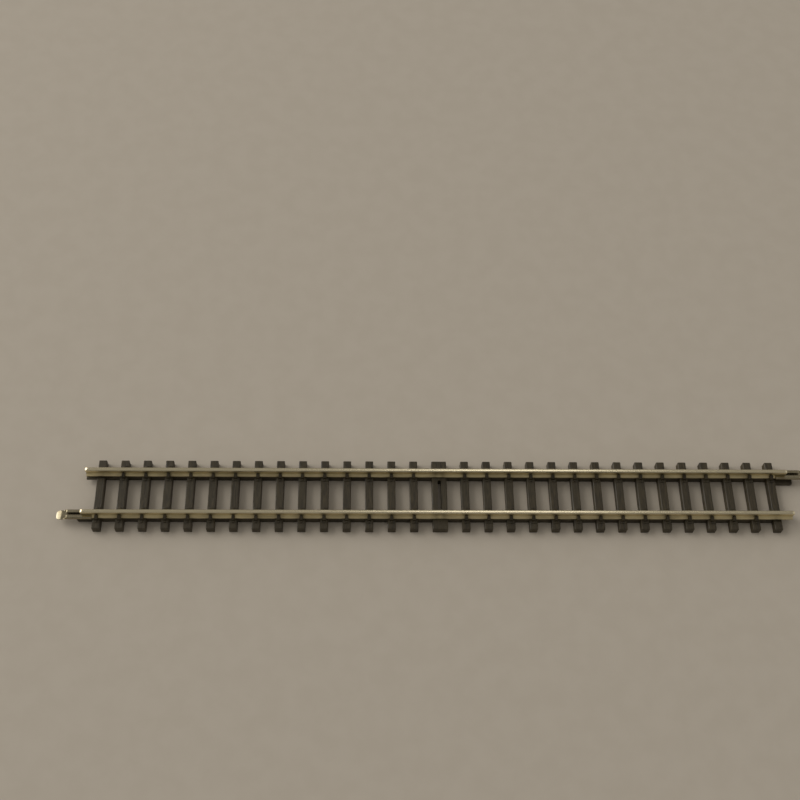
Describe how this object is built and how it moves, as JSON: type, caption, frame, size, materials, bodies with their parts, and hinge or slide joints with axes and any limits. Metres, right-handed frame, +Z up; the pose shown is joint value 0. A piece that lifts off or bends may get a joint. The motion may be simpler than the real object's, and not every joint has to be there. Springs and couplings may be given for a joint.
{
  "type": "model track section",
  "caption": "Straight model railway track section: two nickel-silver rails in a moulded sleeper strip, with a sliding rail joiner on one rail at each end.",
  "frame": {"origin": "on the ground plane under the sleepers, midway between the two rails and midway along the section", "axes": "+X along the rails, +Y across the track towards the far rail, +Z up from the ground to the running surface"},
  "size_m": [0.1178, 0.0116, 0.0028],
  "materials": {
    "sleeper_plastic": "dark brown moulded plastic, satin with fine wood grain",
    "rail_metal": "drawn nickel silver, polished on top and dull on the sides",
    "joiner_metal": "folded nickel-silver sheet, satin"
  },
  "bodies": {
    "track": {"sleeper_strip": "sleeper_plastic", "rail_near": "rail_metal", "rail_far": "rail_metal"},
    "left_joiner": {"joiner_left": "joiner_metal"},
    "right_joiner": {"joiner_right": "joiner_metal"}
  },
  "joints": [
    {"name": "joiner_left_slide", "type": "slide", "parent": "track", "child": "left_joiner", "axis": [-1, 0, 0], "range_m": [0, 0.0012]},
    {"name": "joiner_right_slide", "type": "slide", "parent": "track", "child": "right_joiner", "axis": [1, 0, 0], "range_m": [0, 0.0012]}
  ]
}
